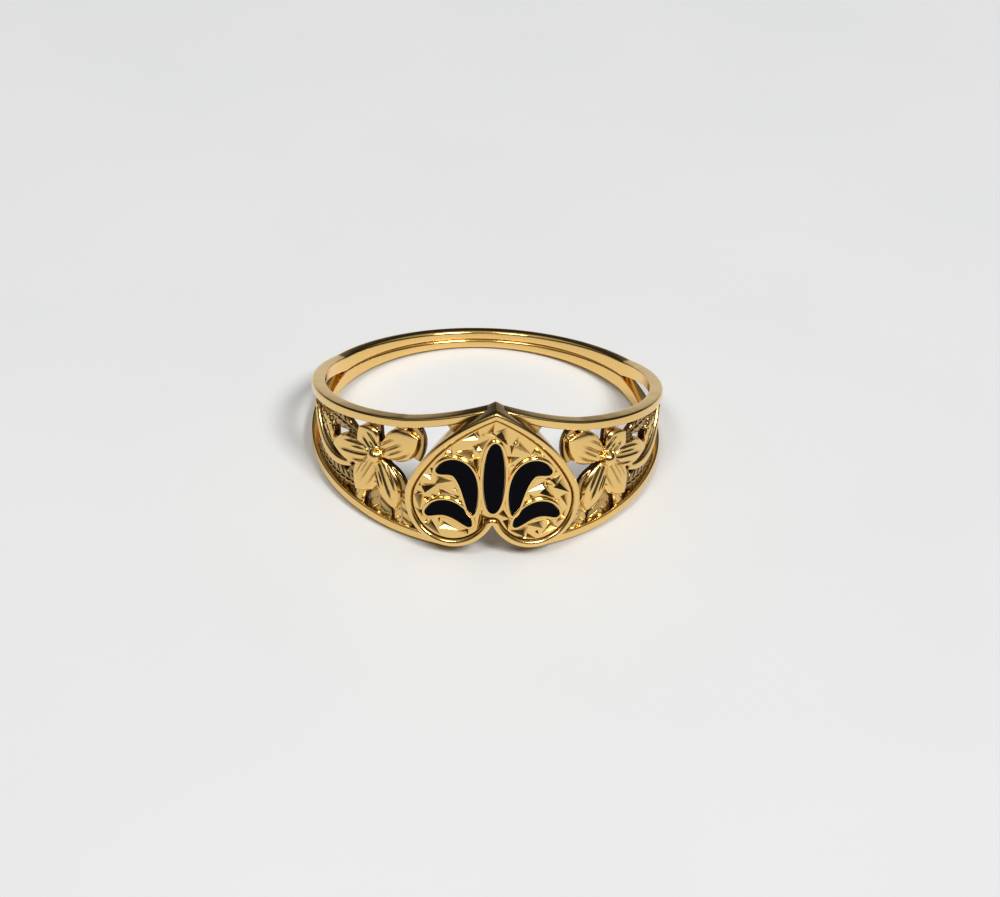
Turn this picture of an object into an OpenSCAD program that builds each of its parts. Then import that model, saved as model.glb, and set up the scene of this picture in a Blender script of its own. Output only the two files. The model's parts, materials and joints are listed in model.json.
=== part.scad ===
// Gold ring with a heart-shaped enamelled head and pierced flower shoulders.
// It lies on its side as a loose ring does, head towards -Y, on the back of its
// shank and the two feet of its lower wire.

/* [Finger hole and wires] */
// Diameter of the finger hole
finger_d = 17.5; // [16.5:0.1:18.5]
// Thickness of each wire, measured outwards from the finger
wire_t = 0.72; // [0.66:0.02:0.8]
// Height of one wire beside the head
wire_h = 0.5; // [0.45:0.01:0.55]
// Height of the two wires together at the back of the shank
shank_h = 1.04; // [1:0.02:1.1]
// Depth of the fine line between the two wires of the shank
seam_d = 0.07; // [0.04:0.01:0.1]

/* [Shoulders] */
// Angle from the middle of the head to where the two wires part
split_a = 119; // [117:1:121]
// Height of both wires together where they part
split_h = 1.72; // [1.66:0.02:1.8]
// Height that each wire climbs from there to the head
climb_h = 3.25; // [3.15:0.05:3.35]
// Extra height of the point of the upper wire, behind the head
point_h = 0.49; // [0.4:0.01:0.6]
// Angle over which the upper wire turns up to that point
point_a = 30; // [26:1:34]
// Depth by which the lower wire flattens out towards the head
flat_h = 0.42; // [0.35:0.01:0.5]
// Angle over which the lower wire flattens
flat_a = 40; // [36:1:44]
// Angle at which the lower wire ends, behind a lobe of the head
foot_a = 13; // [12:1:14]

/* [Flower work] */
// Distance of a flower's middle from the middle of the head, along the band
flower_u = 6.5; // [6.4:0.02:6.6]
// Height of a flower's middle above the middle plane
flower_h = 0.8; // [0.7:0.02:0.86]
// Radius from the finger's axis to the back of the flower work
work_back_r = 8.85; // [8.82:0.01:8.9]
// Radius from the finger's axis to the ridge of a petal
petal_top_r = 9.54; // [9.5:0.01:9.6]
// Radius of the curve across a petal
petal_crown_r = 1.7; // [1.5:0.1:2]
// Depth of the veins in a petal
vein_d = 0.1; // [0.06:0.01:0.12]
// Radius of the bead in the middle of a flower
bead_r = 0.42; // [0.38:0.01:0.46]

/* [Head] */
// Height of the heart's point above the middle plane
tip_h = 4.69; // [4.6:0.01:4.75]
// Distance of a lobe's centre from the middle of the heart
lobe_u = 2.2; // [2.1:0.02:2.3]
// Height of a lobe's centre
lobe_h = -0.6; // [-0.7:0.02:-0.5]
// Radius of a lobe
lobe_r = 2.46; // [2.4:0.02:2.52]
// Radius of the long arc from a lobe to the point
brow_r = 8.7; // [8.2:0.1:9.2]
// Radius from the finger's axis to the top of the border
head_r = 10.25; // [10.15:0.01:10.35]
// Width of the raised border
border_w = 0.38; // [0.32:0.01:0.42]
// Depth of the ground below the border
ground_d = 0.16; // [0.12:0.01:0.2]

/* [Enamel] */
// Width of the raised line of metal round each cell
cell_wall = 0.17; // [0.14:0.01:0.19]
// Depth of a cell below the top of its wall
cell_d = 0.5; // [0.4:0.02:0.6]
// Gap between the enamel and its cell
enamel_gap = 0.02; // [0.01:0.005:0.03]
// How far the enamel lies below the top of its cell wall
enamel_sink = 0.04; // [0.02:0.01:0.06]

/* [Hidden] */
gold = "#dcb96a";
enamel = "#0b0c14";

bore_r = finger_d / 2;
wire_r = bore_r + wire_t;
// The flower work and the head are laid out unrolled, as distances along arcs of these radii.
work_map_r = 9.5;
head_map_r = 10.2;
ground_r = head_r - ground_d;
// Longer than any part of the ring.
far = 14;

// Height of a wire's outer edge above the middle plane, at an angle from the middle of the head.
back_h = shank_h / 2;
fork_h = split_h / 2;
function spread(a) = (fork_h - back_h) * pow((180 - a) / (180 - split_a), 2);
function plain_edge(a) = a >= split_a ? back_h + spread(a) : fork_h + climb_h * (1 - a / split_a);
function upper_edge(a) = plain_edge(a) + point_h * pow(max(0, 1 - a / point_a), 1.3);
function lower_edge(a) = plain_edge(a) - flat_h * pow(max(0, 1 - a / flat_a), 1.5);

// Height of the wire itself, which fills out towards the middle plane near the slot.
fill_a = 75;
function fill(a) = pow(max(0, (a - fill_a) / (split_a - fill_a)), 1.5);
function wire_at(a) = wire_h + (fork_h - wire_h) * fill(a);

// Resting tilt: the back edge of the shank and the inner edge of the lower wire touch the table.
function seat_slope(a) = (lower_edge(a) - back_h) / (wire_r + bore_r * cos(a));
rest_tilt = atan(max([for (a = [foot_a:1:flat_a]) seat_slope(a)]));
rest_lift = back_h * cos(rest_tilt) + wire_r * sin(rest_tilt);

function arc_deg(u, r) = u / r * 180 / PI;
// Brings the middle of the ring's footprint, from the lobes to the back, over the origin.
lobe_front = head_r * cos(arc_deg(lobe_u, head_r)) * cos(rest_tilt) + (lobe_r - lobe_h) * sin(rest_tilt);
shank_rear = wire_r * cos(rest_tilt) + back_h * sin(rest_tilt);
rest_shift = (lobe_front - shank_rear) / 2;

function flipped(pts) = [for (i = [len(pts) - 1:-1:0]) [-pts[i][0], pts[i][1]]];
function turned(pts) = [for (i = [len(pts) - 1:-1:0]) pts[i]];

// Extrudes a drawing of the front view from the finger's axis to the front.
module front_view() {
    rotate([90, 0, 0])
        linear_extrude(height = far)
            children();
}

// A band round the axis, its lower and upper edge worked out at each angle of a row.
// It runs wider than the wires both ways, so that its edges alone shape them.
band_in_r = 8;
band_out_r = 10.6;
module band(angles, low, high, closed) {
    n = len(angles);
    points = [
        for (i = [0:n - 1])
            let (dir = [sin(angles[i]), -cos(angles[i])])
            each [
                [band_in_r * dir[0], band_in_r * dir[1], low[i]],
                [band_out_r * dir[0], band_out_r * dir[1], low[i]],
                [band_out_r * dir[0], band_out_r * dir[1], high[i]],
                [band_in_r * dir[0], band_in_r * dir[1], high[i]]
            ]
    ];
    sides = [
        for (i = [0:closed ? n - 1 : n - 2], k = [0:3])
            let (here = 4 * i, next = 4 * ((i + 1) % n), j = (k + 1) % 4)
            each [[here + k, here + j, next + j], [here + k, next + j, next + k]]
    ];
    ends = closed ? [] : [[3, 2, 1, 0], [4 * n - 4, 4 * n - 3, 4 * n - 2, 4 * n - 1]];
    polyhedron(points, concat(sides, ends));
}

// Step, in degrees, at which the edges of the wires are worked out.
wire_step = 5;
slot_tip_h = 0.02;
module wire_envelope() {
    angles = [-180:wire_step:180 - wire_step];
    band(
        [for (a = angles) a],
        [for (a = angles) -lower_edge(abs(a))],
        [for (a = angles) upper_edge(abs(a))],
        true
    );
}

module wire_window() {
    half = concat([for (a = [wire_step:wire_step:split_a - 2]) a], [split_a]);
    angles = concat([for (a = turned(half)) -a], [0], half);
    band(
        angles,
        [for (a = angles) min(-slot_tip_h, wire_at(abs(a)) - lower_edge(abs(a)))],
        [for (a = angles) max(slot_tip_h, upper_edge(abs(a)) - wire_at(abs(a)))],
        false
    );
}

// Fine line between the two wires of the shank, cut into the outside (1) or the inside (-1).
// It starts inside the slot.
seam_a = split_a - 3;
module seam(r, facing) {
    rotate([0, 0, seam_a - 90])
        rotate_extrude(angle = 360 - 2 * seam_a, $fn = 180)
            polygon([
                [r - facing * seam_d, 0],
                [r + facing * seam_d, -2 * seam_d],
                [r + facing * seam_d, 2 * seam_d]
            ]);
}

module wires() {
    foot_x = bore_r * sin(foot_a);
    difference() {
        cylinder(r = wire_r, h = far, center = true, $fn = 180);
        difference() {
            cylinder(r = wire_r + 1, h = far + 1, center = true, $fn = 180);
            wire_envelope();
        }
        wire_window();
        front_view()
            translate([-foot_x, -far])
                square([2 * foot_x, far - fork_h]);
        seam(wire_r, 1);
    }
}

// Places a drawing on the band: u along it, h above the middle plane.
module on_band(u, h) {
    rotate([0, 0, arc_deg(u, work_map_r)])
        translate([0, 0, h])
            rotate([90, 0, 0])
                children();
}

// A petal is drawn along its length, crowned across it, with three veins.
PETAL_POINTS = 7;
function petal_half(w, s) = w / 2 * pow(sin(180 * pow(s, 1.25)), 0.65);
module petal_outline(l, w) {
    edge = [for (i = [0:PETAL_POINTS]) let (s = i / PETAL_POINTS) [l * (s - 0.5), max(0.06, petal_half(w, s))]];
    polygon(concat(edge, [for (p = turned(edge)) [p[0], -p[1]]]));
}

module petal(tip, w) {
    base = [flower_u, flower_h];
    mid = (base + tip) / 2;
    l = norm(tip - base);
    axis_z = petal_top_r - petal_crown_r;
    on_band(mid[0], mid[1])
        rotate([0, 0, atan2(tip[1] - base[1], tip[0] - base[0])])
            difference() {
                intersection() {
                    linear_extrude(height = far)
                        petal_outline(l, w);
                    translate([0, 0, axis_z])
                        rotate([0, 90, 0])
                            cylinder(r = petal_crown_r, h = l + 2, center = true, $fn = 90);
                }
                for (q = [-1, 0, 1])
                    vein(q * w / 4, l * (q == 0 ? 0.72 : 0.5));
            }
}

// A V-shaped line along a petal, at a distance from its middle.
module vein(offset_y, l) {
    top = petal_top_r - petal_crown_r + sqrt(petal_crown_r * petal_crown_r - offset_y * offset_y);
    translate([0, offset_y, top])
        rotate([90, 0, 90])
            linear_extrude(height = l, center = true)
                polygon([[0, -vein_d], [2 * vein_d, vein_d * 1.5], [-2 * vein_d, vein_d * 1.5]]);
}

// Stems and leaves run from a base to a tip, bent towards a third point between them.
function bend(b, c, t, s) = (1 - s) * (1 - s) * b + 2 * s * (1 - s) * c + s * s * t;
function bend_dir(b, c, t, s) = 2 * (1 - s) * (c - b) + 2 * s * (t - c);
function side(d) = [d[1], -d[0]] / norm(d);
function leaf_half(w, swell, s) = max(0.06, w / 2 * (1 - swell + swell * sin(180 * s)));
STEM_STEPS = 7;
function stem_side(k, q) = [
    for (i = [0:STEM_STEPS])
        let (s = i / STEM_STEPS)
        bend(k[0], k[1], k[2], s) + q * leaf_half(k[3], k[4], s) * side(bend_dir(k[0], k[1], k[2], s))
];
module stem(k) {
    mid_u = bend(k[0], k[1], k[2], 0.5)[0];
    outline = concat(stem_side(k, 1), turned(stem_side(k, -1)));
    intersection() {
        on_band(mid_u, 0)
            linear_extrude(height = far)
                polygon([for (p = outline) [work_map_r * sin(arc_deg(p[0] - mid_u, work_map_r)), p[1]]]);
        cylinder(r = k[5], h = far, center = true, $fn = 180);
    }
}

PETALS = [
    // tip, width
    [[3.9, 2.42], 1.8],
    [[7.65, 2.05], 1.7],
    [[9.85, 0.2], 1.6],
    [[7.9, -1.62], 1.75],
    [[5.2, -1.85], 1.5]
];
STEMS = [
    // base, bend, tip, width, swell, outer radius
    [[10.2, 0.05], [10.7, 0.95], [11.75, 1.35], 1.15, 1, 9.4],
    [[8.4, -0.45], [11.7, -1.7], [13.1, 1.5], 0.6, 0.35, 9.37],
    [[4.9, 2], [5, 2.6], [4.95, 3.1], 0.55, 0, 9.3],
    [[4.55, 3.1], [3.5, 2.4], [4.15, 1.1], 0.5, 0, 9.24],
    [[7.6, -1.3], [7.75, -1.9], [7.9, -2.6], 0.7, 0, 9.3],
    [[5.05, -1.3], [4.9, -2.2], [4.85, -3], 1.1, 0, 9.3],
    [[0.85, 3.95], [1.6, 3.6], [2.3, 3.1], 0.75, 0, 9.28],
    [[9.4, 0.2], [9.9, 0.15], [10.5, 0.2], 0.4, 0, 9.26]
];
// Sunk sheet that backs the work between its leaves and the wires.
SHEETS = [
    // base, bend, tip, width, swell, outer radius
    [[8, 1.4], [10.6, 1.95], [13.4, 1.25], 1.3, 0.95, 9.2],
    [[7.6, -1.5], [10.4, -1.8], [13.4, -1.05], 1.3, 0.95, 9.2],
    [[6.75, 1.5], [6.8, 2.1], [6.85, 2.75], 0.8, 0, 9.18],
    [[5.8, 0.1], [5, -0.1], [4.7, -1.3], 0.5, 0, 9.2],
    [[8.2, -0.6], [8.6, -0.9], [8.9, -1.6], 0.6, 0, 9.16],
    [[6.3, -0.6], [6.5, -1.7], [6.3, -2.8], 1.5, 0, 9.22]
];
bead_mid_r = 9.5;

module flower_work() {
    difference() {
        union() {
            for (k = PETALS)
                petal(k[0], k[1]);
            for (k = concat(STEMS, SHEETS))
                stem(k);
            on_band(flower_u, flower_h)
                translate([0, 0, bead_mid_r])
                    sphere(r = bead_r, $fn = 48);
        }
        cylinder(r = work_back_r, h = far, center = true, $fn = 180);
    }
}

// Outline of the heart: from the point down a long arc, and round a lobe into the cleft.
tip = [0, tip_h];
lobe = [lobe_u, lobe_h];
reach = norm(lobe - tip);
along = (brow_r * brow_r - pow(brow_r - lobe_r, 2) + reach * reach) / (2 * reach);
to_lobe = (lobe - tip) / reach;
brow = tip + along * to_lobe - sqrt(brow_r * brow_r - along * along) * [-to_lobe[1], to_lobe[0]];
join_dir = (lobe - brow) / norm(lobe - brow);
join_a = atan2(join_dir[1], join_dir[0]);
brow_tip_a = atan2(tip[1] - brow[1], tip[0] - brow[0]);
cleft_a = -180 + acos(lobe_u / lobe_r);
function arc(c, r, a1, a2, n) = [for (i = [0:n]) let (a = a1 + (a2 - a1) * i / n) c + r * [cos(a), sin(a)]];
BROW = arc(brow, brow_r, brow_tip_a, join_a, 7);
LOBE = arc(lobe, lobe_r, join_a, cleft_a, 16);
HALF = concat(BROW, [for (i = [1:len(LOBE) - 1]) LOBE[i]]);
HEART = concat(HALF, flipped([for (i = [1:len(HALF) - 2]) HALF[i]]));

// The head's outlines are laid out along its arc, and pressed flat to be extruded to the front.
function pressed(pts) = [for (p = pts) [head_map_r * sin(arc_deg(p[0], head_map_r)), p[1]]];

module heart(inset = 0) {
    offset(delta = -inset)
        polygon(pressed(HEART));
}

// The five cells of enamel form a plain spray of leaves.
CELLS = [
    // base, bend, tip, width
    [[0, -0.95], [0, 0.9], [0, 3], 1.12],
    [[-1.05, -1.1], [-1.2, 2.5], [-2.95, 1.15], 0.98],
    [[1.05, -1.1], [1.2, 2.5], [2.95, 1.15], 0.98],
    [[-1.1, -1.75], [-2.3, -0.1], [-3.45, -1.35], 0.86],
    [[1.1, -1.75], [2.3, -0.1], [3.45, -1.35], 0.86]
];
CELL_STEPS = 11;
function cell_half(w, s) = w / 2 * pow(sin(180 * s), 0.8) + 0.03;
function cell_side(k, q) = [
    for (i = [0:CELL_STEPS])
        let (s = i / CELL_STEPS)
        bend(k[0], k[1], k[2], s) + q * cell_half(k[3], s) * side(bend_dir(k[0], k[1], k[2], s))
];

module cell(i, grow = 0) {
    k = CELLS[i];
    offset(delta = grow)
        polygon(pressed(concat(cell_side(k, 1), turned(cell_side(k, -1)))));
}

module head() {
    difference() {
        intersection() {
            front_view()
                heart();
            cylinder(r = head_r, h = far, center = true, $fn = 180);
        }
        difference() {
            front_view()
                difference() {
                    heart(border_w);
                    for (i = [0:len(CELLS) - 1])
                        cell(i, cell_wall);
                }
            cylinder(r = ground_r, h = far, center = true, $fn = 180);
        }
        difference() {
            front_view()
                for (i = [0:len(CELLS) - 1])
                    cell(i);
            cylinder(r = head_r - cell_d, h = far, center = true, $fn = 180);
        }
    }
}

module at_rest() {
    translate([0, rest_shift, rest_lift])
        rotate([-rest_tilt, 0, 0])
            children();
}

module ring() {
    color(gold)
        at_rest()
            difference() {
                union() {
                    wires();
                    head();
                    flower_work();
                    mirror([1, 0, 0])
                        flower_work();
                }
                cylinder(r = bore_r, h = 2 * far, center = true, $fn = 180);
                seam(bore_r, -1);
            }
}

module enamel_fill(i) {
    color(enamel)
        at_rest()
            difference() {
                intersection() {
                    front_view()
                        cell(i, -enamel_gap);
                    cylinder(r = head_r - enamel_sink, h = far, center = true, $fn = 180);
                }
                cylinder(r = head_r - cell_d + enamel_gap, h = far, center = true, $fn = 180);
            }
}

ring();
enamel_fill(0);  // enamel_centre
enamel_fill(1);  // enamel_left
enamel_fill(2);  // enamel_right
enamel_fill(3);  // enamel_left_foot
enamel_fill(4);  // enamel_right_foot
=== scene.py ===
"""A gold ring with an enamelled heart and pierced flower shoulders, lying on a pale table."""

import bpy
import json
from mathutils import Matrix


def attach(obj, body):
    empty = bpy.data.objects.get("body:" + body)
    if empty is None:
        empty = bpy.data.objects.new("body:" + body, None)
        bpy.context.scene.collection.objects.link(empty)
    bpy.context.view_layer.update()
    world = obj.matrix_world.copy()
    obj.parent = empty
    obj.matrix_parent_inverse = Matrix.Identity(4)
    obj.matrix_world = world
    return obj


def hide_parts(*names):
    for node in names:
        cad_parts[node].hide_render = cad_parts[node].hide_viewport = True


bl_info = {
    "name": "Enamelled heart ring",
    "version": (1, 0, 0),
    "blender": (4, 5, 0),
    "location": "3D View > Sidebar > Ring",
    "description": "Builds a gold ring with an enamelled heart and flower shoulders, on a table",
    "category": "Add Mesh",
}

import json
import math
import random

import bmesh
import bpy
import numpy as np
from mathutils import Matrix, Vector
from mathutils.geometry import delaunay_2d_cdt

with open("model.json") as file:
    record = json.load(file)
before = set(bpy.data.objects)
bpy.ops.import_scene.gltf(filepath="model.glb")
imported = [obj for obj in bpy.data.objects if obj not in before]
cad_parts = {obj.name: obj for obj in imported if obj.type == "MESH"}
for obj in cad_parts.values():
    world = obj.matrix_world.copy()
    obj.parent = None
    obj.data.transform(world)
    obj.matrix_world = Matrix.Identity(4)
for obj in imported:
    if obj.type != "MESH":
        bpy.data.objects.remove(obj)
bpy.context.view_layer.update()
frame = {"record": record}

MM = 1000
# The finger hole's middle and axis, as the solids have them. Shapes are laid out in
# millimetres round this axis, head towards -Y, and seated on the table at the end.
HOLE = next(m for m in frame["record"]["mounts"] if m["name"] == "finger_hole")
TILT = math.atan2(HOLE["axis"][1], HOLE["axis"][2])
AT_REST = (
    Matrix.Translation(HOLE["pos_m"])
    @ Matrix.Rotation(-TILT, 4, "X")
    @ Matrix.Scale(1 / MM, 4)
)


class RingSizes(bpy.types.PropertyGroup):
    """Sizes of the gold work."""

    finger_hole: bpy.props.FloatProperty(
        name="Finger hole",
        description="Diameter of the finger hole",
        default=HOLE["dims"]["r_mm"] * 2 / MM,
        unit="LENGTH",
    )
    wire_thickness: bpy.props.FloatProperty(
        name="Wire thickness",
        description="Thickness of each wire, outwards from the finger",
        default=0.00072,
        unit="LENGTH",
    )
    wire_height: bpy.props.FloatProperty(
        name="Wire height",
        description="Height of one wire beside the head",
        default=0.0005,
        unit="LENGTH",
    )
    shank_height: bpy.props.FloatProperty(
        name="Shank height",
        description="Height of both wires together at the back",
        default=0.00104,
        unit="LENGTH",
    )
    fork_height: bpy.props.FloatProperty(
        name="Fork height",
        description="Height of both wires together where they part",
        default=0.00172,
        unit="LENGTH",
    )
    fork_angle: bpy.props.FloatProperty(
        name="Fork angle",
        description="Angle from the middle of the head to where the wires part",
        default=math.radians(119),
        subtype="ANGLE",
    )
    climb: bpy.props.FloatProperty(
        name="Climb",
        description="Height each wire gains from the fork to the head",
        default=0.00325,
        unit="LENGTH",
    )
    head_radius: bpy.props.FloatProperty(
        name="Head radius",
        description="Distance of the heart's border from the finger's axis",
        default=0.01025,
        unit="LENGTH",
    )
    border_width: bpy.props.FloatProperty(
        name="Border width",
        description="Width of the heart's raised border",
        default=0.00038,
        unit="LENGTH",
    )
    cell_wall: bpy.props.FloatProperty(
        name="Cell wall",
        description="Width of the gold line round each enamel cell",
        default=0.00017,
        unit="LENGTH",
    )
    cuts: bpy.props.IntProperty(
        name="Graver cuts",
        description="Triangular cuts in the heart's ground, as many as find room up to this number",
        default=240,
        min=0,
    )
    casting_grain: bpy.props.FloatProperty(
        name="Casting grain",
        description="Mesh size of the cast flower work",
        default=0.000036,
        unit="LENGTH",
    )


class RingColours(bpy.types.PropertyGroup):
    """Colours of the metal, its painted shade, the enamel and the table."""

    gold: bpy.props.StringProperty(
        name="Gold", description="Polished metal, sRGB hex", default="#f0c97f"
    )
    # painted shade: the colour that the metal darkens towards in recesses, veins and cuts
    gold_painted_shade: bpy.props.StringProperty(
        name="Deep gold", description="Metal in the recesses, sRGB hex", default="#6f583a"
    )
    enamel: bpy.props.StringProperty(
        name="Enamel", description="Enamel, sRGB hex", default="#020206"
    )
    table: bpy.props.StringProperty(
        name="Table", description="Table top, sRGB hex", default="#ecedec"
    )


def mm(value):
    """A length of the add-on, in metres, as millimetres."""
    return value * MM


def linear(code):
    """sRGB hex to a linear colour."""
    parts = [int(code[i : i + 2], 16) / 255 for i in (1, 3, 5)]
    return [c / 12.92 if c <= 0.04045 else ((c + 0.055) / 1.055) ** 2.4 for c in parts] + [1.0]


def add(tree, kind, inputs=None, **settings):
    """Adds a node, its settings, and its inputs as values or links."""
    node = tree.nodes.new(kind)
    for key, value in settings.items():
        setattr(node, key, value)
    for key, value in (inputs or {}).items():
        if isinstance(value, bpy.types.NodeSocket):
            tree.links.new(value, node.inputs[key])
        else:
            node.inputs[key].default_value = value
    return node


# The rule of the two wires. Lengths are in mm, and angles start at the middle of the head.

# The upper wire rises to a point behind the heart's tip
POINT_RISE, POINT_SPREAD = 0.49, math.radians(30)
# The lower wire flattens towards the heart's lobes, and ends in a foot behind each
FLAT_DEPTH, FLAT_SPREAD = 0.42, math.radians(40)
FOOT = math.radians(13)
# Each wire thickens from here to the fork
FILL_FROM = math.radians(75)
# The shank wears round between these angles
BACK_FROM, BACK_FULL = math.radians(108), math.radians(150)


def plain_edge(s, a):
    """Height of a wire's outer edge above the middle plane at angle a from the head."""
    fork, back = mm(s.fork_height) / 2, mm(s.shank_height) / 2
    if a >= s.fork_angle:
        return back + (fork - back) * ((math.pi - a) / (math.pi - s.fork_angle)) ** 2
    return fork + mm(s.climb) * (1 - a / s.fork_angle)


def upper_edge(s, a):
    """The upper wire's outer edge, with its point behind the heart."""
    return plain_edge(s, a) + POINT_RISE * max(0.0, 1 - a / POINT_SPREAD) ** 1.3


def lower_edge(s, a):
    """The lower wire's outer edge, measured downwards."""
    return plain_edge(s, a) - FLAT_DEPTH * max(0.0, 1 - a / FLAT_SPREAD) ** 1.5


def wire_at(s, a):
    """Height of one wire, which fills out to the middle plane at the fork."""
    if a >= s.fork_angle:
        return plain_edge(s, a)
    thin, full = mm(s.wire_height), mm(s.fork_height) / 2
    return thin + (full - thin) * max(0.0, (a - FILL_FROM) / (s.fork_angle - FILL_FROM)) ** 1.5


# Outlines

# The heart, laid flat: height of its tip, middle of its right lobe, radii of lobe and brow
TIP_H = 4.69
LOBE = np.array([2.2, -0.6])
LOBE_R, BROW_R = 2.46, 8.7
HEART_CENTRE = np.array([0.0, 0.3])
# Distances from the finger's axis at which flat-laid work keeps its size
HEAD_MAP_R, WORK_MAP_R = 10.2, 9.5


def arc(centre, r, a1, a2, n):
    """Points along an arc, with both its ends."""
    t = np.linspace(a1, a2, n)
    return np.stack([centre[0] + r * np.cos(t), centre[1] + r * np.sin(t)], 1)


def heart_outline(inset, brow_n=64, lobe_n=112, cleft_n=14):
    """Closed outline of the heart, as far inside its edge as inset."""
    reach = math.hypot(*(np.array([0.0, TIP_H]) - LOBE))
    along = (BROW_R**2 - (BROW_R - LOBE_R) ** 2 + reach**2) / (2 * reach)
    to_lobe = (LOBE - [0, TIP_H]) / reach
    brow = (
        np.array([0, TIP_H])
        + along * to_lobe
        - math.sqrt(BROW_R**2 - along**2) * np.array([-to_lobe[1], to_lobe[0]])
    )
    join = LOBE - brow
    join_a = math.atan2(join[1], join[0])
    r = BROW_R - inset
    tip_a = math.acos(-brow[0] / r)
    cleft_a = -math.pi + math.acos(LOBE[0] / LOBE_R)
    cleft = LOBE + LOBE_R * np.array([math.cos(cleft_a), math.sin(cleft_a)])
    half = np.concatenate(
        [
            arc(brow, r, tip_a, join_a, brow_n)[:-1],
            arc(LOBE, LOBE_R - inset, join_a, cleft_a, lobe_n)[:-1],
            arc(cleft, max(inset, 1e-4), cleft_a + math.pi, math.pi / 2, cleft_n),
        ]
    )
    left = half[-2:0:-1] * [-1, 1]
    return np.concatenate([half, left])


CELLS = {
    # the piece it holds: base, bend, tip, width
    "enamel_centre": ([0, -0.95], [0, 0.9], [0, 3], 1.12),
    "enamel_left": ([-1.05, -1.1], [-1.2, 2.5], [-2.95, 1.15], 0.98),
    "enamel_right": ([1.05, -1.1], [1.2, 2.5], [2.95, 1.15], 0.98),
    "enamel_left_foot": ([-1.1, -1.75], [-2.3, -0.1], [-3.45, -1.35], 0.86),
    "enamel_right_foot": ([1.1, -1.75], [2.3, -0.1], [3.45, -1.35], 0.86),
}


def bent(base, bend, tip, s):
    """Points and side directions along a bent line, at each s from 0 to 1."""
    b, c, t = (np.array(p, float) for p in (base, bend, tip))
    s = np.asarray(s)[:, None]
    line = (1 - s) ** 2 * b + 2 * s * (1 - s) * c + s**2 * t
    run = 2 * (1 - s) * (c - b) + 2 * s * (t - c)
    run /= np.linalg.norm(run, axis=1)[:, None]
    return line, np.stack([run[:, 1], -run[:, 0]], 1)


def leaf_outline(cell, grow, points=120):
    """Closed outline of a leaf-shaped cell, grown outwards, and its middle line beside it."""
    base, bend, tip, width = cell
    t = np.linspace(0, 2 * math.pi, points, endpoint=False)
    line, side = bent(base, bend, tip, (1 - np.cos(t)) / 2)
    swell = width / 2 * np.sign(np.sin(t)) * np.abs(np.sin(t)) ** 0.9
    edge = line + side * swell[:, None]
    run = np.roll(edge, -1, 0) - np.roll(edge, 1, 0)
    out = np.stack([run[:, 1], -run[:, 0]], 1)
    out /= np.linalg.norm(out, axis=1)[:, None]
    centre = edge.mean(0)
    if ((edge - centre) * out).sum() < 0:
        out = -out
    return edge + grow * out, line


# Meshes


def lofted(rows, closed_rows=False):
    """Faces between loops of equally many points, capped unless the last joins the first."""
    n, count = len(rows[0]), len(rows)
    i = np.arange(n)
    j = (i + 1) % n
    faces = []
    for r in range(count if closed_rows else count - 1):
        a, b = r * n, (r + 1) % count * n
        faces += np.stack([a + i, a + j, b + j, b + i], 1).tolist()
    if not closed_rows:
        faces.append(list(range(n))[::-1])
        faces.append(list(range((count - 1) * n, count * n)))
    return np.concatenate(rows), faces


def with_level(points, level):
    """Flat points and their distance from the finger's axis."""
    return np.column_stack([points, np.full(len(points), level)])


def joined(parts):
    """One list of points and faces out of several."""
    verts, faces, start = [], [], 0
    for v, f in parts:
        verts.append(v)
        faces += [[k + start for k in face] for face in f]
        start += len(v)
    return np.concatenate(verts), faces


def points_of(mesh, key="co"):
    """A value with three parts of each point, as rows."""
    values = np.empty(len(mesh.vertices) * 3)
    mesh.vertices.foreach_get(key, values)
    return values.reshape(-1, 3)


def new_object(name, verts, faces):
    """An object of that name in the scene, at the origin."""
    mesh = bpy.data.meshes.new(name)
    mesh.from_pydata(np.asarray(verts, float).tolist(), [], faces)
    mesh.update()
    obj = bpy.data.objects.new(name, mesh)
    bpy.context.scene.collection.objects.link(obj)
    return obj


def made_plain(obj):
    """Turns what the modifiers make into the object's own mesh."""
    graph = bpy.context.evaluated_depsgraph_get()
    mesh = bpy.data.meshes.new_from_object(obj.evaluated_get(graph), depsgraph=graph)
    old = obj.data
    obj.modifiers.clear()
    obj.data = mesh
    bpy.data.meshes.remove(old)
    mesh.name = obj.name
    return mesh


def with_nodes(obj, tree, **inputs):
    """Puts a node tree on the object and sets its inputs by their names."""
    modifier = obj.modifiers.new(tree.name, "NODES")
    modifier.node_group = tree
    sockets = {i.name: i.identifier for i in tree.interface.items_tree if i.in_out == "INPUT"}
    for name, value in inputs.items():
        modifier[sockets[name.replace("_", " ").capitalize()]] = value


# Points nearer than this, in mm, are one
WELD = 0.0004


def seated(obj, slot, *nodes, crease=38):
    """Closes the mesh, turns its faces outwards, seats it and ties it to the frame."""
    mesh = obj.data
    work = bmesh.new()
    work.from_mesh(mesh)
    bmesh.ops.remove_doubles(work, verts=work.verts, dist=WELD)
    bmesh.ops.dissolve_degenerate(work, edges=work.edges, dist=WELD / 2)
    rims = [e for e in work.edges if len(e.link_faces) == 1]
    if rims:
        bmesh.ops.holes_fill(work, edges=rims)
    bmesh.ops.recalc_face_normals(work, faces=work.faces)
    work.to_mesh(mesh)
    work.free()
    mesh.transform(AT_REST)
    mesh.shade_smooth()
    mesh.set_sharp_from_angle(angle=math.radians(crease))
    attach(obj, "root")
    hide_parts(*nodes)
    print(f"{obj.name}: {sum(len(p.vertices) - 2 for p in mesh.polygons)} triangles")


# Node trees for shapes


def new_tree(name, sockets):
    """A tree for a modifier with these named inputs, and what its input node gives."""
    tree = bpy.data.node_groups.new(name, "GeometryNodeTree")
    tree.is_modifier = True
    for label, kind in sockets:
        tree.interface.new_socket(label, in_out="INPUT", socket_type="NodeSocket" + kind)
    tree.interface.new_socket("Geometry", in_out="OUTPUT", socket_type="NodeSocketGeometry")
    return tree, tree.nodes.new("NodeGroupInput").outputs


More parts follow.
